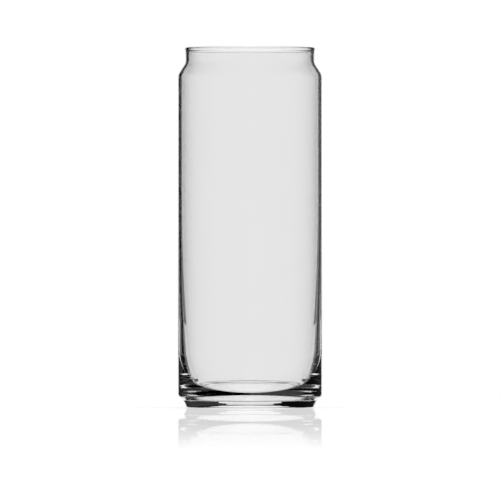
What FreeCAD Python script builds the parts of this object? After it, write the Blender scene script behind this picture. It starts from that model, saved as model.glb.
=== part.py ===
# Can-shaped drinking glass: one piece of clear glass in the form of a slim drinks can.
# The straight body narrows at a sloped shoulder to a short neck with a rim bead, and stands on a tapered
# stacking foot. Inside, the wall thickens slowly downwards and turns into a thick flat floor.
# Millimetres. +Z is up, and the origin is the centre of the ring that the glass stands on.

import FreeCAD, Part
import math
import os
import Sketcher

PART_NAME = "can_glass"
FULL_TURN = 360.0
RIGHT_ANGLE = math.pi / 2

# The driving dimensions. The body's diameter and height lead: the neck, the foot and the ring are set in from
# the body, and the shoulder is set down from the rim. Where two straight stretches meet in a rounding, the
# size is that of the sharp corner before it is rounded.
DIMENSIONS = [
    ("overall_height", 150.0, "standing ring to the top of the rim bead"),
    ("body_diameter", 60.0, "outside of the straight body"),
    ("neck_inset", 3.15, "neck's outside, inwards from the body's"),
    ("neck_height", 6.3, "rim down to the corner of neck and shoulder"),
    ("shoulder_height", 4.9, "that corner down to the one of shoulder and body"),
    ("neck_rounding", 3.4, "outside, neck to shoulder"),
    ("shoulder_rounding", 5.0, "outside, shoulder to body"),
    ("bead_width", 1.65, "rim bead, across"),
    ("bead_height", 1.65, "rim bead, up"),
    ("bead_bevel", 0.4, "height of the bevels under the bead"),
    ("bead_crown", 0.3, "rise of the bead's round top"),
    ("wall_thickness", 1.1, "neck, shoulder and upper body"),
    ("wall_growth_height", 43.0, "below this the wall grows thicker"),
    ("wall_growth_radius", 240.0, "long inner arc of the growing wall"),
    ("corner_radius", 10.0, "inner arc from the wall towards the floor"),
    ("corner_lean_angle", 47.7, "degrees off the upright where the corner arc ends"),
    ("floor_rounding", 2.1, "last and tightest inner arc, into the floor"),
    ("floor_height", 4.8, "flat inner floor"),
    ("body_base_height", 4.85, "corner of body and step"),
    ("body_base_rounding", 2.0, "body to step"),
    ("step_inset", 2.15, "foot's top, inwards from the body's outside"),
    ("foot_height", 3.0, "corner of step and foot"),
    ("foot_top_rounding", 1.3, "hollow, step to foot"),
    ("foot_taper", 1.4, "foot's base, inwards from its top"),
    ("foot_bevel", 0.5, "outer edge of the standing ring, up and in"),
    ("ring_width", 5.95, "flat standing ring, up to the foot's base corner"),
    ("recess_depth", 0.9, "flat recess inside the standing ring"),
    ("recess_slope", 2.5, "width of the recess's sloped border"),
]

BODY_R = "sizes.body_diameter / 2"
NECK_R = f"{BODY_R} - sizes.neck_inset"
FOOT_TOP_R = f"{BODY_R} - sizes.step_inset"
FOOT_BASE_R = f"{FOOT_TOP_R} - sizes.foot_taper"
FOOT_BEVEL_R = f"{FOOT_BASE_R} + sizes.foot_taper * sizes.foot_bevel / sizes.foot_height"
RING_R = f"{FOOT_BASE_R} - sizes.ring_width"
RECESS_R = f"{RING_R} - sizes.recess_slope"
BEAD_R = f"{NECK_R} - sizes.wall_thickness / 2"
NECK_Z = "sizes.overall_height - sizes.neck_height"
SHOULDER_Z = f"{NECK_Z} - sizes.shoulder_height"
RIM_Z = "sizes.overall_height"
BEAD_Z = f"{RIM_Z} - sizes.bead_height"
INNER_BODY_R = f"{BODY_R} - sizes.wall_thickness"
INNER_NECK_R = f"{NECK_R} - sizes.wall_thickness"
# The shoulder keeps its wall when its inside is drawn lower by this much.
SHOULDER_DROP = "sizes.wall_thickness * tan(atan(sizes.neck_inset / sizes.shoulder_height) / 2)"


def make_sheet(doc):
    """The spreadsheet: one named cell for each driving dimension."""
    sheet = doc.addObject("Spreadsheet::Sheet", "sizes")
    for row, (name, value, meaning) in enumerate(DIMENSIONS, start=1):
        sheet.set(f"A{row}", name)
        sheet.set(f"B{row}", str(value))
        sheet.set(f"C{row}", meaning)
        sheet.setAlias(f"B{row}", name)
    doc.recompute()
    return sheet


def value(owner, expression):
    """What an expression on the sheet comes to now, as a plain number."""
    found = owner.evalExpression(expression)
    return float(getattr(found, "Value", found))


def make_sketch(body, name):
    """An empty sketch on the body's own XZ plane: radius from the axis across, height up."""
    sketch = body.newObject("Sketcher::SketchObject", name)
    plane = next(f for f in body.Origin.OriginFeatures if f.Role == "XZ_Plane")
    sketch.AttachmentSupport = [(plane, "")]
    sketch.MapMode = "FlatFace"
    return sketch


def bind(sketch, name, constraint, expression):
    """Adds a dimension to a sketch and ties it to the sheet."""
    index = sketch.addConstraint(constraint)
    sketch.renameConstraint(index, name)
    sketch.setExpression(f"Constraints.{name}", expression)


def fix_point(sketch, name, geometry, end, radius, height):
    """Holds a point at a radius and a height, given as expressions; 0 is the axis or the base."""
    if radius == "0":
        sketch.addConstraint(Sketcher.Constraint("PointOnObject", geometry, end, -2))
    else:
        across = Sketcher.Constraint("DistanceX", -1, 1, geometry, end, value(sketch, radius))
        bind(sketch, f"{name}_radius", across, radius)
    if height == "0":
        sketch.addConstraint(Sketcher.Constraint("PointOnObject", geometry, end, -1))
    else:
        up = Sketcher.Constraint("DistanceY", -1, 1, geometry, end, value(sketch, height))
        bind(sketch, f"{name}_height", up, height)


def arc_round(centre, radius, first, last):
    """The arc round a centre from one angle to a greater one, in radians from X towards Y."""
    return Part.ArcOfCircle(Part.Circle(centre, FreeCAD.Vector(0, 0, 1), radius), first, last)


def draw_rounding(sketch, name, pair, place, radius, height, rounding):
    """The arc between two lines that already end where it touches them.

    A construction point holds the sharp corner that both lines aim at.
    """
    before, after = pair
    corner = sketch.addGeometry(Part.Point(place), True)
    fix_point(sketch, name, corner, 1, radius, height)
    sketch.addConstraint(Sketcher.Constraint("PointOnObject", corner, 1, before))
    sketch.addConstraint(Sketcher.Constraint("PointOnObject", corner, 1, after))
    entry, leave = sketch.getPoint(before, 2), sketch.getPoint(after, 1)
    size = value(sketch, rounding)
    inwards = ((entry + leave) / 2 - place).normalize()
    touch = entry.distanceToPoint(place)
    centre = place + inwards * math.hypot(touch, size)
    first, last = (math.atan2(point.y - centre.y, point.x - centre.x) for point in (entry, leave))
    left_turn = (last - first) % math.tau < math.pi
    if not left_turn:
        first, last = last, first
    drawn = arc_round(centre, size, first, first + (last - first) % math.tau)
    arc = sketch.addGeometry(drawn, False)
    sketch.addConstraint(Sketcher.Constraint("Tangent", before, 2, arc, 1 if left_turn else 2))
    sketch.addConstraint(Sketcher.Constraint("Tangent", after, 1, arc, 2 if left_turn else 1))
    bind(sketch, f"{name}_rounding", Sketcher.Constraint("Radius", arc, size), rounding)


def draw_outline(sketch, corners, closed=True):
    """Lines through named corners (name, radius, height, rounding); a sharp corner's rounding is None."""
    count = len(corners)
    places = [FreeCAD.Vector(value(sketch, r), value(sketch, z), 0) for _, r, z, _ in corners]
    legs = list(zip(places, places[1:] + places[:1]))[: count if closed else count - 1]
    ways = [(end - start).normalize() for start, end in legs]
    trims = []
    for number, (_, _, _, rounding) in enumerate(corners):
        bend = ways[number - 1].getAngle(ways[number]) if rounding else 0
        trims.append(value(sketch, rounding) * math.tan(bend / 2) if rounding else 0)
    lines = []
    for number, (start, end) in enumerate(legs):
        way = ways[number]
        leg = Part.LineSegment(start + way * trims[number], end - way * trims[(number + 1) % count])
        lines.append(sketch.addGeometry(leg, False))
    for number, (name, radius, height, rounding) in enumerate(corners):
        if number == len(lines):
            fix_point(sketch, name, lines[-1], 2, radius, height)
            continue
        before, after = lines[number - 1], lines[number]
        if rounding:
            draw_rounding(sketch, name, (before, after), places[number], radius, height, rounding)
            continue
        fix_point(sketch, name, after, 1, radius, height)
        if closed or number > 0:
            sketch.addConstraint(Sketcher.Constraint("Coincident", before, 2, after, 1))
    return lines


def revolve(body, kind, sketch, name):
    """Turns a sketch once round the glass's axis, to add glass (Revolution) or to cut it away (Groove)."""
    feature = body.newObject(f"PartDesign::{kind}", name)
    feature.Profile = sketch
    feature.ReferenceAxis = (sketch, ["V_Axis"])
    feature.Angle = FULL_TURN
    body.Document.recompute()
    return feature


def make_outside(body):
    """The solid outer form: foot, step, straight body, shoulder and neck, as turned from one outline."""
    sketch = make_sketch(body, "outer_outline")
    draw_outline(sketch, [
        ("base_middle", "0", "0", None),
        ("foot_base", f"{FOOT_BASE_R} - sizes.foot_bevel", "0", None),
        ("foot_side", FOOT_BEVEL_R, "sizes.foot_bevel", None),
        ("foot_top", FOOT_TOP_R, "sizes.foot_height", "sizes.foot_top_rounding"),
        ("body_base", BODY_R, "sizes.body_base_height", "sizes.body_base_rounding"),
        ("shoulder", BODY_R, SHOULDER_Z, "sizes.shoulder_rounding"),
        ("neck", NECK_R, NECK_Z, "sizes.neck_rounding"),
        ("neck_top", NECK_R, BEAD_Z, None),
        ("top_middle", "0", BEAD_Z, None),
    ])
    revolve(body, "Revolution", sketch, "outer_form")


def draw_bowl(sketch, body_line, axis_line):
    """The flat floor and the three arcs that lead from it up to the straight wall, each smooth into the next.

    An arc of radius r between leans a and b off the upright rises by r * (sin b - sin a). The lower joint's
    lean is given, and the upper joint leans so that the rises add up to the height of the long arc's top.
    """
    names = ("floor_rounding", "corner_radius", "wall_growth_radius")
    radii = [value(sketch, f"sizes.{name}") for name in names]
    tight, corner, long = radii
    lean = math.radians(value(sketch, "sizes.corner_lean_angle"))
    rise = value(sketch, "sizes.wall_growth_height - sizes.floor_height")
    upper_sine = (rise - tight * (1 - math.sin(lean)) - corner * math.sin(lean)) / (long - corner)
    leans = [RIGHT_ANGLE, lean, math.asin(upper_sine), 0.0]
    # From the wall down, each arc's centre lies on the line through the last one's centre and their joint.
    arcs = []
    joint = sketch.getPoint(body_line, 1)
    for radius, low, high in reversed(list(zip(radii, leans, leans[1:]))):
        centre = joint - FreeCAD.Vector(math.cos(high), -math.sin(high), 0) * radius
        drawn = arc_round(centre, radius, -low, -high)
        arcs.insert(0, sketch.addGeometry(drawn, False))
        joint = drawn.StartPoint
    floor = sketch.addGeometry(Part.LineSegment(sketch.getPoint(axis_line, 2), joint), False)
    sketch.addConstraint(Sketcher.Constraint("Coincident", axis_line, 2, floor, 1))
    sketch.addConstraint(Sketcher.Constraint("Horizontal", floor))
    rising = [floor, *arcs, body_line]
    for lower, upper in zip(rising, rising[1:]):
        sketch.addConstraint(Sketcher.Constraint("Tangent", lower, 2, upper, 1))
    for name, arc, radius in zip(names, arcs, radii):
        bind(sketch, name, Sketcher.Constraint("Radius", arc, radius), f"sizes.{name}")
    turn = Sketcher.Constraint("Angle", arcs[0], RIGHT_ANGLE - lean)
    bind(sketch, "floor_turn", turn, "(90 - sizes.corner_lean_angle) * 1 deg")


def make_inside(body):
    """Cuts the cavity: flat floor, bowl, straight inner wall, shoulder and neck."""
    sketch = make_sketch(body, "inner_outline")
    inner_shoulder = "sizes.shoulder_rounding - sizes.wall_thickness"
    inner_neck = "sizes.neck_rounding + sizes.wall_thickness"
    lines = draw_outline(sketch, [
        ("growth_top", INNER_BODY_R, "sizes.wall_growth_height", None),
        ("inner_shoulder", INNER_BODY_R, f"{SHOULDER_Z} - {SHOULDER_DROP}", inner_shoulder),
        ("inner_neck", INNER_NECK_R, f"{NECK_Z} - {SHOULDER_DROP}", inner_neck),
        ("inner_rim", INNER_NECK_R, RIM_Z, None),
        ("mouth_middle", "0", RIM_Z, None),
        ("floor_middle", "0", "sizes.floor_height", None),
    ], closed=False)
    draw_bowl(sketch, lines[0], lines[-1])
    revolve(body, "Groove", sketch, "cavity")


def make_bead(body):
    """The rim: a bead a little thicker than the neck's wall, bevelled below and round on top."""
    sketch = make_sketch(body, "bead_outline")
    outer_r = f"{BEAD_R} + sizes.bead_width / 2"
    inner_r = f"{BEAD_R} - sizes.bead_width / 2"
    low, high = f"{BEAD_Z} + sizes.bead_bevel", f"{RIM_Z} - sizes.bead_crown"
    lines = draw_outline(sketch, [
        ("high_inside", inner_r, high, None),
        ("low_inside", inner_r, low, None),
        ("root_inside", INNER_NECK_R, BEAD_Z, None),
        ("root_outside", NECK_R, BEAD_Z, None),
        ("low_outside", outer_r, low, None),
        ("high_outside", outer_r, high, None),
    ], closed=False)
    start, end = sketch.getPoint(lines[-1], 2), sketch.getPoint(lines[0], 1)
    crown_radius = "(sizes.bead_width ^ 2 / 4 + sizes.bead_crown ^ 2) / 2 / sizes.bead_crown"
    radius = value(sketch, crown_radius)
    centre = (start + end) / 2 - FreeCAD.Vector(0, radius - value(sketch, "sizes.bead_crown"), 0)
    lean = math.atan2(start.y - centre.y, start.x - centre.x)
    crown = sketch.addGeometry(arc_round(centre, radius, lean, math.pi - lean), False)
    sketch.addConstraint(Sketcher.Constraint("Coincident", lines[-1], 2, crown, 1))
    sketch.addConstraint(Sketcher.Constraint("Coincident", crown, 2, lines[0], 1))
    bind(sketch, "crown_size", Sketcher.Constraint("Radius", crown, radius), crown_radius)
    revolve(body, "Revolution", sketch, "bead")


def make_underside(body):
    """Cuts the flat recess with its sloped border, which leaves the ring that the glass stands on."""
    sketch = make_sketch(body, "recess_outline")
    draw_outline(sketch, [
        ("underside_middle", "0", "0", None),
        ("ring_inner", RING_R, "0", None),
        ("recess_edge", RECESS_R, "sizes.recess_depth", None),
        ("recess_middle", "0", "sizes.recess_depth", None),
    ])
    revolve(body, "Groove", sketch, "recess")


def check(doc, body):
    """Stops if any object failed to build or the glass isn't one sound solid."""
    for item in doc.Objects:
        if "Invalid" in item.State or "Error" in item.State:
            raise RuntimeError(f"{item.Name} failed: {item.State}")
        if item.isDerivedFrom("Sketcher::SketchObject") and item.solve() != 0:
            raise RuntimeError(f"{item.Name} can't be solved")
    shape = body.Shape
    if shape.isNull() or not shape.isValid() or len(shape.Solids) != 1:
        raise RuntimeError(f"{body.Label} isn't one valid solid")


def make_glass(doc):
    """The whole glass, built in the order in which its form reads: outside, cavity, rim and underside."""
    body = doc.addObject("PartDesign::Body", PART_NAME)
    body.Label = PART_NAME
    body.Placement = FreeCAD.Placement()
    volumes = []
    for step in (make_outside, make_inside, make_bead, make_underside):
        step(body)
        volumes.append(body.Shape.Volume)
    outside, hollow, beaded, finished = volumes
    if not (hollow < outside and beaded > hollow and finished < beaded):
        raise RuntimeError(f"a step changed nothing: {volumes}")
    return body


def main():
    doc = FreeCAD.newDocument("glass")
    make_sheet(doc)
    body = make_glass(doc)
    doc.recompute()
    check(doc, body)
    os.makedirs("parts", exist_ok=True)
    body.Shape.exportStep(f"parts/{body.Label}.step")
    box = body.Shape.BoundBox
    print(f"{body.Label}: {box.XLength:.2f} x {box.YLength:.2f} x {box.ZLength:.2f} mm")
    print(f"glass volume {body.Shape.Volume / 1000:.1f} ml")


main()
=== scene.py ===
"""A clear can-shaped drinking glass in a white studio.

The glass is one surface of revolution. Its outline is a chain of arcs with straight stretches between them,
worked out from a few named sizes, and is carried once round the glass's axis.

The studio is white, and the glass gets its dark edges from surroundings that only glass and mirrors see.
"""

import math

import bpy
import numpy as np
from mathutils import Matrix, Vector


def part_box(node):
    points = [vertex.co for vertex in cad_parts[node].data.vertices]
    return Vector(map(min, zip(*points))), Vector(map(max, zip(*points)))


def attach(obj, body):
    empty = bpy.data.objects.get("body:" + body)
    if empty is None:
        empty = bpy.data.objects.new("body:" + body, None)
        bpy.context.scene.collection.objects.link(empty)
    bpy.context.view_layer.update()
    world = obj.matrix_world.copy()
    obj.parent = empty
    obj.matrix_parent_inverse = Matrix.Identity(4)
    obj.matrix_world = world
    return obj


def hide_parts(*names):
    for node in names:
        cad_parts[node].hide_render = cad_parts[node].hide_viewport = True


bl_info = {
    "name": "Can-shaped drinking glass",
    "version": (1, 0, 0),
    "blender": (4, 5, 0),
    "location": "3D View > Sidebar > Drinking glass",
    "description": "Builds a clear can-shaped drinking glass and the white studio that it stands in",
    "category": "Add Mesh",
}

NODE = "can_glass"
MM = 0.001  # lengths are in metres where nothing else is said

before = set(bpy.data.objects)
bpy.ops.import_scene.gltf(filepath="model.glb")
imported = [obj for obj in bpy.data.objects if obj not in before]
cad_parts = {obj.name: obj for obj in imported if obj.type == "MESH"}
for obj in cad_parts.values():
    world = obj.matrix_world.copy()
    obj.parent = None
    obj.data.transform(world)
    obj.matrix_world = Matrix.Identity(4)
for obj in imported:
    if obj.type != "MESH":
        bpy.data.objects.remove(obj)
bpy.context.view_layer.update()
NODE_LOW, NODE_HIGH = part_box(NODE)

ARC_STEP = math.radians(3.0)  # longest turn between two points of a small rounding
MIN_ARC_STEPS = 8

# Faint waves of the glass wall.
WAVES_PER_METRE = 120.0
WAVE_SQUEEZE = 0.04  # heights are multiplied by this, which draws the waves out upright
WAVE_DEPTH = 0.1 * MM

# The floor.
SEAT_GAP = 0.05 * MM  # it lies this far under the standing ring
FLOOR_REACH = 12.0  # from its middle to each side
FLOOR_WHITE = 0.97
FLOOR_LIFT = 0.2  # added to the matt white where the camera sees it
EVEN_WHITE_FROM, EVEN_WHITE_TO = 0.1, 0.6  # distances between which the floor turns into an even white
STRIP_EDGE = 5 * MM  # the shine fades out over this width at the side of its strip
SHINE_POWER = 2.55  # how late the shine fades along its strip
GLANCING_FROM, GLANCING_TO = 0.96, 0.985  # Layer Weight's Facing at no shine and at full shine

# The surroundings. A patch is (degrees from +Y towards +X, degrees up): behind the glass as another view sees it.
ROOM = 3.0  # from the middle to each wall
FIELD_SLOPE = 0.5  # the white field behind the glass is as wide as this times its distance, to each side
CARD_TALL = 0.6  # from the floor to a card's top, and down to its bottom
PATCHES = ((-90.0, -3.0), (-45.0, -25.0), (135.0, -15.0))

# The light and the camera.
DIFFUSE_DIMMING = 0.2  # taken off the world's strength of 1 where it lights the floor
LAMP_SIZE = 2.0
LAMP_POWER = 8.0  # in watts
LAMP_HEIGHT = 2.5
SENSOR_WIDTH = 36.0  # in millimetres
VIEW_LIMIT = 40.0  # the camera sees no further than this
MANY_BOUNCES, MIRROR_BOUNCES = 32, 16  # enough for light to find its way out of the thick foot


def length(name, description, default):
    """A size in metres, as a property that the panel shows."""
    return bpy.props.FloatProperty(
        name=name, description=description, default=default, min=0.0, precision=5, subtype="DISTANCE", unit="LENGTH"
    )


def angle(name, description, degrees):
    """An angle, given in degrees, as a property that the panel shows."""
    return bpy.props.FloatProperty(
        name=name, description=description, default=math.radians(degrees), min=0.0, max=math.pi / 2, subtype="ANGLE"
    )


def share(name, description, default, most=1.0):
    """A plain number from nought up, as a property that the panel shows."""
    return bpy.props.FloatProperty(
        name=name, description=description, default=default, min=0.0, max=most, precision=4
    )


class GlassOutside(bpy.types.PropertyGroup):
    """Sizes of the outside of the glass. Heights are above the standing ring."""

    height: length("Height", "Standing ring to the top of the rim", NODE_HIGH.z - NODE_LOW.z)
    body_diameter: length("Body diameter", "Outside of the straight body", NODE_HIGH.x - NODE_LOW.x)
    neck_diameter: length("Neck diameter", "Outside of the neck", 53.7 * MM)
    neck_height: length("Neck height", "Rim top down to the corner of shoulder and neck", 6.3 * MM)
    shoulder_height: length("Shoulder height", "From the neck's corner down to the body's corner", 4.9 * MM)
    shoulder_rounding: length("Shoulder rounding", "Radius where the body turns into the shoulder", 5.0 * MM)
    neck_rounding: length("Neck rounding", "Radius where the shoulder turns into the neck", 3.4 * MM)
    bead_section: length("Bead section", "Diameter of the round rim bead's own section", 1.65 * MM)
    bead_offset: length("Bead offset", "Bead's middle outside the middle of the neck's wall", 0.1 * MM)
    bead_root: length("Bead root", "Radius of the hollow between bead and neck", 0.8 * MM)
    body_base_height: length("Body base height", "Corner of body and step", 4.85 * MM)
    body_base_rounding: length("Body base rounding", "Radius where the body turns into the step", 2.0 * MM)
    foot_top_diameter: length("Foot top diameter", "Foot just under the step", 55.7 * MM)
    foot_top_height: length("Foot top height", "Corner of step and foot", 3.0 * MM)
    foot_top_rounding: length("Foot top rounding", "Radius of the hollow under the step", 1.3 * MM)
    foot_base_diameter: length("Foot base diameter", "Corner of foot and standing ring", 52.9 * MM)
    foot_base_rounding: length("Foot base rounding", "Radius of the ring's outer edge", 0.8 * MM)
    ring_inner_diameter: length("Ring inner diameter", "Inner edge of the standing ring", 41.0 * MM)
    ring_inner_rounding: length("Ring inner rounding", "Radius of the ring's inner edge", 0.8 * MM)
    push_up_height: length("Push-up height", "Rise of the underside at its middle", 1.7 * MM)


class GlassInside(bpy.types.PropertyGroup):
    """Sizes of the inside of the glass. Heights are above the standing ring."""

    wall: length("Wall", "Thickness of the neck, shoulder and upper body", 1.1 * MM)
    growth_height: length("Growth height", "Below this the wall grows thicker", 88.0 * MM)
    growth_radius: length("Growth radius", "Radius of the long arc of the growing wall", 1600.0 * MM)
    heel_radius: length("Heel radius", "Radius of the arc below it, where the wall starts to lean in", 54.0 * MM)
    heel_lean: angle("Heel lean", "Off the upright, where heel and corner arcs meet", 16.0)
    corner_radius: length("Corner radius", "Radius of the arc from the heel towards the floor", 12.6 * MM)
    corner_lean: angle("Corner lean", "Off the upright, where the corner arc ends", 47.7)
    floor_rounding: length("Floor rounding", "Radius of the last arc, into the flat floor", 2.1 * MM)
    floor_height: length("Floor height", "Flat inner floor", 4.8 * MM)
    segments: bpy.props.IntProperty(name="Segments", description="Steps round the axis", default=288, min=64, max=512)


class GlassFinish(bpy.types.PropertyGroup):
    """The look of the clear glass."""

    tint: bpy.props.FloatVectorProperty(
        name="Tint", description="What the glass lets through", subtype="COLOR", size=3, min=0.0, max=1.0,
        default=(0.958, 0.96, 0.959),
    )
    ior: share("Refraction", "Index of refraction", 1.51, 2.0)
    waviness: share("Waviness", "Strength of the faint waves that drawing leaves in the surface", 0.0006)


class StudioLook(bpy.types.PropertyGroup):
    """The white studio round the glass."""

    floor_shine: share("Floor shine", "Share of the light that the glossy floor mirrors next to the glass", 0.37)
    shine_reach: length("Shine reach", "Distance from the glass at which the floor's shine has faded out", 1.64)
    shine_width: length("Shine width", "Half width of the shining strip of the floor", 0.034)
    white_gap: length("White gap", "Half width of the white field between the dark cards behind", 0.086)
    low_white_gap: length("Low white gap", "The same at the height of the foot and below", 0.115)
    gap_step: length("Gap step", "Height above the standing ring at which the gap widens", 0.02)
    card_distance: length("Card distance", "From the glass's axis to the dark cards behind it", 0.265)
    card_width: length("Card width", "Width of each card at the height of the foot", 0.05)
    right_level: share("Right level", "How light the dark surroundings on the right are", 0.045)
    patch_angle: angle("Patch angle", "Half the width of a white patch in the surroundings", 14.0)
    camera_distance: length("Camera distance", "From the glass's axis to the camera", 8.0)
    view_width: length("View width", "Width of the picture at the glass's axis", 208.1 * MM)
    view_height: length("View height", "Height of the picture's middle above the standing ring", 65.6 * MM)


def arc(centre, radius, start, end):
    """Points centre + radius * (cos t, sin t), for t in equal steps from start to end, in radians."""
    steps = max(MIN_ARC_STEPS, math.ceil(abs(end - start) / ARC_STEP))
    t = np.linspace(start, end, steps + 1)
    return np.asarray(centre) + radius * np.column_stack((np.cos(t), np.sin(t)))


def heading(vector):
    """Angle of a vector from the first axis towards the second."""
    return math.atan2(vector[1], vector[0])


def rounded_corner(before, corner, after, radius):
    """The arc that touches both sides of a corner.

    Its centre lies on the corner's bisector, radius / sin(half the corner's angle) away.
    """
    before, corner, after = (np.asarray(p, float) for p in (before, corner, after))
    back = (before - corner) / np.linalg.norm(before - corner)
    on = (after - corner) / np.linalg.norm(after - corner)
    half = math.acos(np.clip(back @ on, -1.0, 1.0)) / 2
    bisector = (back + on) / np.linalg.norm(back + on)
    centre = corner + bisector * radius / math.sin(half)
    touch = radius / math.tan(half)
    start = heading(corner + back * touch - centre)
    turn = (heading(corner + on * touch - centre) - start + math.pi) % math.tau - math.pi
    return arc(centre, radius, start, start + turn)


def rim(outside, inside):
    """The bead, and the hollows that lead into it from both sides of the neck's wall.

    Each hollow's centre is its radius away from the wall, and bead radius + hollow radius from the bead's centre.
    """
    bead = outside.bead_section / 2
    root = outside.bead_root
    half_wall = inside.wall / 2
    offset = outside.bead_offset
    middle = np.array([outside.neck_diameter / 2 - half_wall + offset, outside.height - bead])
    outer_lean = math.acos((half_wall - offset + root) / (bead + root))
    inner_lean = math.acos((half_wall + offset + root) / (bead + root))
    outer = middle + (bead + root) * np.array([math.cos(outer_lean), -math.sin(outer_lean)])
    inner = middle - (bead + root) * np.array([math.cos(inner_lean), math.sin(inner_lean)])
    return [
        arc(outer, root, math.pi, math.pi - outer_lean),
        arc(middle, bead, -outer_lean, math.pi + inner_lean)[1:-1],
        arc(inner, root, inner_lean, 0.0),
    ]


def bowl(inside, wall_radius):
    """The inside below the straight wall: four arcs, each smooth into the next, down to the flat floor.

    An arc of radius r between leans a and b off the upright drops by r * (sin b - sin a). The leans of the two
    lower joints are given, and the uppermost joint leans so that the drops add up.
    """
    lower_drop = inside.floor_rounding * (1 - math.sin(inside.corner_lean))
    lower_drop += inside.corner_radius * (math.sin(inside.corner_lean) - math.sin(inside.heel_lean))
    upper_drop = inside.growth_height - inside.floor_height - lower_drop
    over = upper_drop - inside.heel_radius * math.sin(inside.heel_lean)
    wall_lean = math.asin(over / (inside.growth_radius - inside.heel_radius))
    radii = (inside.growth_radius, inside.heel_radius, inside.corner_radius, inside.floor_rounding)
    leans = (0.0, wall_lean, inside.heel_lean, inside.corner_lean, math.pi / 2)
    joint = np.array([wall_radius, inside.growth_height])
    arcs = [joint[None]]
    for radius, high, low in zip(radii, leans, leans[1:]):
        centre = joint - radius * np.array([math.cos(high), -math.sin(high)])
        arcs.append(arc(centre, radius, -high, -low)[1:])
        joint = arcs[-1][-1]
    return arcs + [np.array([[0.0, inside.floor_height]])]


def outline(outside, inside):
    """The whole outline as points (radius, height), from the underside's middle up the outside and down inside."""
    body = outside.body_diameter / 2
    neck = outside.neck_diameter / 2
    foot_top = outside.foot_top_diameter / 2
    foot_base = outside.foot_base_diameter / 2
    ring = outside.ring_inner_diameter / 2
    neck_base = outside.height - outside.neck_height
    body_top = neck_base - outside.shoulder_height
    inner_body = body - inside.wall
    inner_neck = neck - inside.wall
    # The shoulder keeps its wall when its inside is drawn lower by this much.
    drop = inside.wall * math.tan(math.atan((body - neck) / outside.shoulder_height) / 2)
    dome_radius = (ring**2 + outside.push_up_height**2) / (2 * outside.push_up_height)
    dome_centre = (0.0, outside.push_up_height - dome_radius)
    dome_edge = math.acos(ring / dome_radius)
    dome = arc(dome_centre, dome_radius, math.pi / 2, dome_edge)
    side = [
        tuple(dome[-2]),
        (ring, 0.0),
        (foot_base, 0.0),
        (foot_top, outside.foot_top_height),
        (body, outside.body_base_height),
        (body, body_top),
        (neck, neck_base),
        (neck, outside.height),
    ]
    roundings = [
        outside.ring_inner_rounding,
        outside.foot_base_rounding,
        outside.foot_top_rounding,
        outside.body_base_rounding,
        outside.shoulder_rounding,
        outside.neck_rounding,
    ]
    chain = [dome[:-1]]
    chain += [rounded_corner(*three, radius) for three, radius in zip(zip(side, side[1:], side[2:]), roundings)]
    chain += rim(outside, inside)
    inner = [
        (inner_neck, outside.height),
        (inner_neck, neck_base - drop),
        (inner_body, body_top - drop),
        (inner_body, inside.growth_height),
    ]
    roundings = [outside.neck_rounding + inside.wall, outside.shoulder_rounding - inside.wall]
    chain += [rounded_corner(*three, radius) for three, radius in zip(zip(inner, inner[1:], inner[2:]), roundings)]
    chain += bowl(inside, inner_body)
    return np.vstack(chain)


def turned_mesh(name, points, segments):
    """Carries an outline of (radius, height) points once round the Z axis.

    A point (r, z) goes to (r cos a, r sin a, z) for each of the equally spaced angles a. The first and last points
    lie on the axis and become one vertex each, with triangles round them.
    """
    rings = points[1:-1]
    a = np.arange(segments) * math.tau / segments
    grid = np.empty((len(rings), segments, 3))
    grid[:, :, 0] = rings[:, :1] * np.cos(a)
    grid[:, :, 1] = rings[:, :1] * np.sin(a)
    grid[:, :, 2] = rings[:, 1:]
    first_pole = len(rings) * segments
    last_pole = first_pole + 1
    poles = [(0.0, 0.0, points[0, 1]), (0.0, 0.0, points[-1, 1])]
    vertices = np.vstack((grid.reshape(-1, 3), poles))
    here = np.arange(segments)
    there = np.roll(here, -1)
    row = np.arange(len(rings) - 1)[:, None] * segments
    quads = np.stack((row + here, row + there, row + segments + there, row + segments + here), axis=-1).reshape(-1, 4)
    last_row = first_pole - segments
    first_fan = np.column_stack((np.full(segments, first_pole), there, here))
    last_fan = np.column_stack((np.full(segments, last_pole), last_row + here, last_row + there))
    mesh = bpy.data.meshes.new(name)
    mesh.from_pydata(vertices, [], quads.tolist() + first_fan.tolist() + last_fan.tolist())
    mesh.shade_smooth()
    mesh.validate()
    return mesh


def wave_group():
    """Node group: the faint upright waves of a machine-made glass wall, as a height from 0 to 1.

    It is noise whose place is squeezed in height, so that each wave is long upright and short across.
    """
    group = bpy.data.node_groups.new("glass_waves", "ShaderNodeTree")
    for name, value in (("Waves per metre", WAVES_PER_METRE), ("Squeeze", WAVE_SQUEEZE)):
        group.interface.new_socket(name, in_out="INPUT", socket_type="NodeSocketFloat").default_value = value
    group.interface.new_socket("Height", in_out="OUTPUT", socket_type="NodeSocketFloat")
    nodes, links = group.nodes, group.links
    given = nodes.new("NodeGroupInput")
    result = nodes.new("NodeGroupOutput")
    place = nodes.new("ShaderNodeTexCoord")
    stretch = nodes.new("ShaderNodeCombineXYZ")
    stretch.inputs["X"].default_value = 1.0
    stretch.inputs["Y"].default_value = 1.0
    scaled = nodes.new("ShaderNodeVectorMath")
    scaled.operation = "MULTIPLY"
    noise = nodes.new("ShaderNodeTexNoise")
    noise.inputs["Detail"].default_value = 1.0
    noise.inputs["Roughness"].default_value = 0.4
    links.new(given.outputs["Squeeze"], stretch.inputs["Z"])
    links.new(place.outputs["Object"], scaled.inputs[0])
    links.new(stretch.outputs["Vector"], scaled.inputs[1])
    links.new(scaled.outputs["Vector"], noise.inputs["Vector"])
    links.new(given.outputs["Waves per metre"], noise.inputs["Scale"])
    links.new(noise.outputs["Fac"], result.inputs["Height"])
    return group


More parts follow.
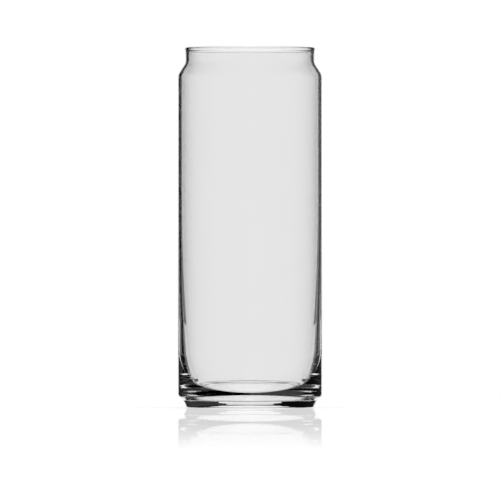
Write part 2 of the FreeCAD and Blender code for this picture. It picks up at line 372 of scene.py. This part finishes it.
def clear_glass(finish):
    """Clear glass: fully transmitting, almost colourless, with the faint waves of its wall in the normal."""
    material = bpy.data.materials.new("clear_glass")
    material.use_nodes = True
    nodes, links = material.node_tree.nodes, material.node_tree.links
    shader = nodes["Principled BSDF"]
    shader.inputs["Base Color"].default_value = (*finish.tint, 1.0)
    shader.inputs["Roughness"].default_value = 0.0
    shader.inputs["IOR"].default_value = finish.ior
    shader.inputs["Transmission Weight"].default_value = 1.0
    waves = nodes.new("ShaderNodeGroup")
    waves.node_tree = wave_group()
    bump = nodes.new("ShaderNodeBump")
    bump.inputs["Strength"].default_value = finish.waviness
    bump.inputs["Distance"].default_value = WAVE_DEPTH
    links.new(waves.outputs["Height"], bump.inputs["Height"])
    links.new(bump.outputs["Normal"], shader.inputs["Normal"])
    return material


def plain_mesh(name, corners, faces):
    """A stage object from a few corners."""
    mesh = bpy.data.meshes.new(name)
    mesh.from_pydata(corners, [], faces)
    stage_piece = bpy.data.objects.new(name, mesh)
    bpy.context.scene.collection.objects.link(stage_piece)
    return stage_piece


def math_node(nodes, links, operation, *values):
    """A Math node; each value is a number or the socket that gives it."""
    node = nodes.new("ShaderNodeMath")
    node.operation = operation
    for socket, value in zip(node.inputs, values):
        if isinstance(value, bpy.types.NodeSocket):
            links.new(value, socket)
        else:
            socket.default_value = value
    return node.outputs["Value"]


def floor_material(studio):
    """White floor: matt, even white far out, and a mirror at a glancing look along the strip that the glass stands on.

    The mirror's share falls off as 1 - (distance / reach) ** SHINE_POWER.
    """
    material = bpy.data.materials.new("studio_floor")
    material.use_nodes = True
    nodes, links = material.node_tree.nodes, material.node_tree.links
    nodes.clear()
    out = nodes.new("ShaderNodeOutputMaterial")
    matt = nodes.new("ShaderNodeBsdfDiffuse")
    matt.inputs["Color"].default_value = (FLOOR_WHITE, FLOOR_WHITE, FLOOR_WHITE, 1.0)
    mirror = nodes.new("ShaderNodeBsdfGlossy")
    mirror.inputs["Color"].default_value = (1.0, 1.0, 1.0, 1.0)
    mirror.inputs["Roughness"].default_value = 0.0
    far = nodes.new("ShaderNodeEmission")
    lift = nodes.new("ShaderNodeEmission")
    place = nodes.new("ShaderNodeTexCoord")
    apart = nodes.new("ShaderNodeSeparateXYZ")
    distance = nodes.new("ShaderNodeVectorMath")
    distance.operation = "LENGTH"
    far_out = nodes.new("ShaderNodeMapRange")
    far_out.inputs["From Min"].default_value = EVEN_WHITE_FROM
    far_out.inputs["From Max"].default_value = EVEN_WHITE_TO
    strip = nodes.new("ShaderNodeMapRange")
    strip.inputs["From Min"].default_value = studio.shine_width
    strip.inputs["From Max"].default_value = studio.shine_width + STRIP_EDGE
    strip.inputs["To Min"].default_value = studio.floor_shine
    strip.inputs["To Max"].default_value = 0.0
    look = nodes.new("ShaderNodeLayerWeight")
    glancing = nodes.new("ShaderNodeMapRange")
    glancing.inputs["From Min"].default_value = GLANCING_FROM
    glancing.inputs["From Max"].default_value = GLANCING_TO
    path = nodes.new("ShaderNodeLightPath")
    base = nodes.new("ShaderNodeMixShader")
    lifted = nodes.new("ShaderNodeAddShader")
    coated = nodes.new("ShaderNodeMixShader")
    links.new(place.outputs["Object"], distance.inputs[0])
    links.new(place.outputs["Object"], apart.inputs["Vector"])
    links.new(distance.outputs["Value"], far_out.inputs["Value"])
    links.new(math_node(nodes, links, "ABSOLUTE", apart.outputs["X"]), strip.inputs["Value"])
    links.new(look.outputs["Facing"], glancing.inputs["Value"])
    part_way = math_node(nodes, links, "DIVIDE", distance.outputs["Value"], studio.shine_reach)
    faded = math_node(nodes, links, "SUBTRACT", 1.0, math_node(nodes, links, "POWER", part_way, SHINE_POWER))
    left_over = math_node(nodes, links, "MAXIMUM", faded, 0.0)
    near = math_node(nodes, links, "MULTIPLY", left_over, strip.outputs["Result"])
    shine = math_node(nodes, links, "MULTIPLY", near, glancing.outputs["Result"])
    seen = math_node(nodes, links, "MULTIPLY", path.outputs["Is Camera Ray"], FLOOR_LIFT)
    links.new(seen, lift.inputs["Strength"])
    links.new(matt.outputs["BSDF"], lifted.inputs[0])
    links.new(lift.outputs["Emission"], lifted.inputs[1])
    links.new(far_out.outputs["Result"], base.inputs["Fac"])
    links.new(lifted.outputs["Shader"], base.inputs[1])
    links.new(far.outputs["Emission"], base.inputs[2])
    links.new(shine, coated.inputs["Fac"])
    links.new(base.outputs["Shader"], coated.inputs[1])
    links.new(mirror.outputs["BSDF"], coated.inputs[2])
    links.new(coated.outputs["Shader"], out.inputs["Surface"])
    return material


def surroundings_material(name, studio, field_slope):
    """What the glass shows and mirrors: dark, black on the left and a little lighter on the right, with white in it.

    White are a field behind the glass, where |x| < field_slope * y; the patches, for rays that pass through without
    a reflection; and everything, for light on its way from the floor, so that the shadow is as faint as that of
    clear glass.
    """
    material = bpy.data.materials.new(name)
    material.use_nodes = True
    nodes, links = material.node_tree.nodes, material.node_tree.links
    nodes.clear()
    out = nodes.new("ShaderNodeOutputMaterial")
    glow = nodes.new("ShaderNodeEmission")
    place = nodes.new("ShaderNodeTexCoord")
    way = nodes.new("ShaderNodeVectorMath")
    way.operation = "NORMALIZE"
    apart = nodes.new("ShaderNodeSeparateXYZ")
    path = nodes.new("ShaderNodeLightPath")
    links.new(place.outputs["Object"], way.inputs[0])
    links.new(way.outputs["Vector"], apart.inputs["Vector"])
    right = math_node(nodes, links, "GREATER_THAN", apart.outputs["X"], 0.0)
    level = math_node(nodes, links, "MULTIPLY", right, studio.right_level)
    field = math_node(nodes, links, "MULTIPLY", apart.outputs["Y"], field_slope)
    sideways = math_node(nodes, links, "ABSOLUTE", apart.outputs["X"])
    behind = math_node(nodes, links, "LESS_THAN", sideways, field)
    level = math_node(nodes, links, "MAXIMUM", level, behind)
    level = math_node(nodes, links, "MAXIMUM", level, path.outputs["Diffuse Depth"])
    straight = math_node(nodes, links, "LESS_THAN", path.outputs["Glossy Depth"], 0.5)
    for turn, rise in PATCHES:
        turn, rise = math.radians(turn), math.radians(rise)
        along = nodes.new("ShaderNodeVectorMath")
        along.operation = "DOT_PRODUCT"
        along.inputs[1].default_value = (
            math.sin(turn) * math.cos(rise), math.cos(turn) * math.cos(rise), math.sin(rise)
        )
        links.new(way.outputs["Vector"], along.inputs[0])
        patch = math_node(nodes, links, "GREATER_THAN", along.outputs["Value"], math.cos(studio.patch_angle))
        white = math_node(nodes, links, "MULTIPLY", patch, straight)
        level = math_node(nodes, links, "MAXIMUM", level, white)
    links.new(level, glow.inputs["Strength"])
    links.new(glow.outputs["Emission"], out.inputs["Surface"])
    return material


def surround(name, corners, faces, material):
    """A piece of the surroundings, which only glass and mirrors see."""
    piece = plain_mesh(name, corners, faces)
    piece.data.materials.append(material)
    piece.visible_camera = False
    piece.visible_diffuse = False
    piece.visible_shadow = False


def lay_floor(studio):
    """The floor, which the glass itself doesn't see, because its own surroundings go on below."""
    sides = ((-1, -1), (1, -1), (1, 1), (-1, 1))
    corners = [(x * FLOOR_REACH, y * FLOOR_REACH, -SEAT_GAP) for x, y in sides]
    floor = plain_mesh("studio_floor", corners, [(0, 1, 2, 3)])
    floor.data.materials.append(floor_material(studio))
    floor.visible_glossy = False
    floor.visible_transmission = False


def white_world():
    """A white world, a little dimmer where it lights the floor, so that the floor keeps the shadow."""
    world = bpy.data.worlds.new("white_studio")
    world.use_nodes = True
    nodes, links = world.node_tree.nodes, world.node_tree.links
    background = nodes["Background"]
    background.inputs["Color"].default_value = (1.0, 1.0, 1.0, 1.0)
    path = nodes.new("ShaderNodeLightPath")
    dimmed = math_node(nodes, links, "MULTIPLY", path.outputs["Is Diffuse Ray"], DIFFUSE_DIMMING)
    links.new(math_node(nodes, links, "SUBTRACT", 1.0, dimmed), background.inputs["Strength"])
    return world


def set_surroundings(studio):
    """The walls of the room, and a tall dark card on both sides behind the glass, in two parts with their own gap."""
    around = surroundings_material("surroundings", studio, FIELD_SLOPE)
    dark = surroundings_material("dark_card", studio, 0.0)
    sides = ((-ROOM, -ROOM), (ROOM, -ROOM), (ROOM, ROOM), (-ROOM, ROOM))
    corners = [(x, y, z) for z in (-ROOM, ROOM) for x, y in sides]
    faces = [(0, 3, 2, 1), (4, 5, 6, 7), (0, 1, 5, 4), (1, 2, 6, 5), (2, 3, 7, 6), (3, 0, 4, 7)]
    surround("surroundings", corners, faces, around)
    away = studio.card_distance
    parts = (
        ("high", studio.white_gap, studio.gap_step, CARD_TALL),
        ("low", studio.low_white_gap, -CARD_TALL, studio.gap_step),
    )
    for side, x_way in (("left", -1), ("right", 1)):
        out = (studio.low_white_gap + studio.card_width) * x_way
        for part, gap, low, high in parts:
            near = gap * x_way
            corners = [(near, away, low), (out, away, low), (out, away, high), (near, away, high)]
            surround(f"card_{side}_{part}", corners, [(0, 1, 2, 3)], dark)


def soft_light():
    """A wide lamp overhead, which the glass doesn't mirror."""
    lamp = bpy.data.lights.new("soft_light", "AREA")
    lamp.shape = "DISK"
    lamp.size = LAMP_SIZE
    lamp.energy = LAMP_POWER
    light = bpy.data.objects.new("soft_light", lamp)
    light.location = (0.0, 0.0, LAMP_HEIGHT)
    light.visible_glossy = False
    light.visible_transmission = False
    return light


class CANGLASS_OT_glass(bpy.types.Operator):
    """Build the glass as one surface of revolution"""

    bl_idname = "canglass.glass"
    bl_label = "Build glass"

    def execute(self, context):
        scene = context.scene
        points = outline(scene.glass_outside, scene.glass_inside)
        mesh = turned_mesh("drinking_glass", points, scene.glass_inside.segments)
        glass = bpy.data.objects.new("drinking_glass", mesh)
        scene.collection.objects.link(glass)
        mesh.materials.append(clear_glass(scene.glass_finish))
        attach(glass, "root")
        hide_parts(NODE)
        return {"FINISHED"}


class CANGLASS_OT_stage(bpy.types.Operator):
    """Set up the floor, the white world, the surroundings that the glass shows, and the light"""

    bl_idname = "canglass.stage"
    bl_label = "Set stage"

    def execute(self, context):
        scene = context.scene
        lay_floor(scene.studio_look)
        scene.world = white_world()
        set_surroundings(scene.studio_look)
        scene.collection.objects.link(soft_light())
        scene.view_settings.view_transform = "Standard"
        scene.cycles.max_bounces = MANY_BOUNCES
        scene.cycles.glossy_bounces = MIRROR_BOUNCES
        scene.cycles.transmission_bounces = MANY_BOUNCES
        return {"FINISHED"}


class CANGLASS_OT_camera(bpy.types.Operator):
    """Place a level long-lens camera in front of the glass"""

    bl_idname = "canglass.camera"
    bl_label = "Place camera"

    def execute(self, context):
        scene = context.scene
        studio = scene.studio_look
        lens = bpy.data.cameras.new("long_lens")
        lens.sensor_width = SENSOR_WIDTH
        lens.lens = SENSOR_WIDTH * studio.camera_distance / studio.view_width
        lens.clip_end = VIEW_LIMIT
        camera = bpy.data.objects.new("long_lens", lens)
        camera.location = (0.0, -studio.camera_distance, studio.view_height)
        camera.rotation_euler = (math.pi / 2, 0.0, 0.0)
        scene.collection.objects.link(camera)
        scene.camera = camera
        return {"FINISHED"}


class CANGLASS_PT_panel(bpy.types.Panel):
    """Lists the steps and their sizes"""

    bl_idname = "CANGLASS_PT_panel"
    bl_label = "Drinking glass"
    bl_space_type = "VIEW_3D"
    bl_region_type = "UI"
    bl_category = "Drinking glass"

    def draw(self, context):
        scene = context.scene
        steps = (
            (CANGLASS_OT_glass, (scene.glass_outside, scene.glass_inside, scene.glass_finish)),
            (CANGLASS_OT_stage, (scene.studio_look,)),
            (CANGLASS_OT_camera, ()),
        )
        for operator, groups in steps:
            box = self.layout.box()
            box.operator(operator.bl_idname)
            for group in groups:
                for name in group.__annotations__:
                    box.prop(group, name)


CLASSES = (
    GlassOutside,
    GlassInside,
    GlassFinish,
    StudioLook,
    CANGLASS_OT_glass,
    CANGLASS_OT_stage,
    CANGLASS_OT_camera,
    CANGLASS_PT_panel,
)
SETTINGS = {
    "glass_outside": GlassOutside,
    "glass_inside": GlassInside,
    "glass_finish": GlassFinish,
    "studio_look": StudioLook,
}


def register():
    for item in CLASSES:
        bpy.utils.register_class(item)
    for name, group in SETTINGS.items():
        setattr(bpy.types.Scene, name, bpy.props.PointerProperty(type=group))


def unregister():
    for name in SETTINGS:
        delattr(bpy.types.Scene, name)
    for item in reversed(CLASSES):
        bpy.utils.unregister_class(item)


def main():
    register()
    bpy.ops.canglass.glass()
    bpy.ops.canglass.stage()
    bpy.ops.canglass.camera()


if __name__ == "__main__":
    main()
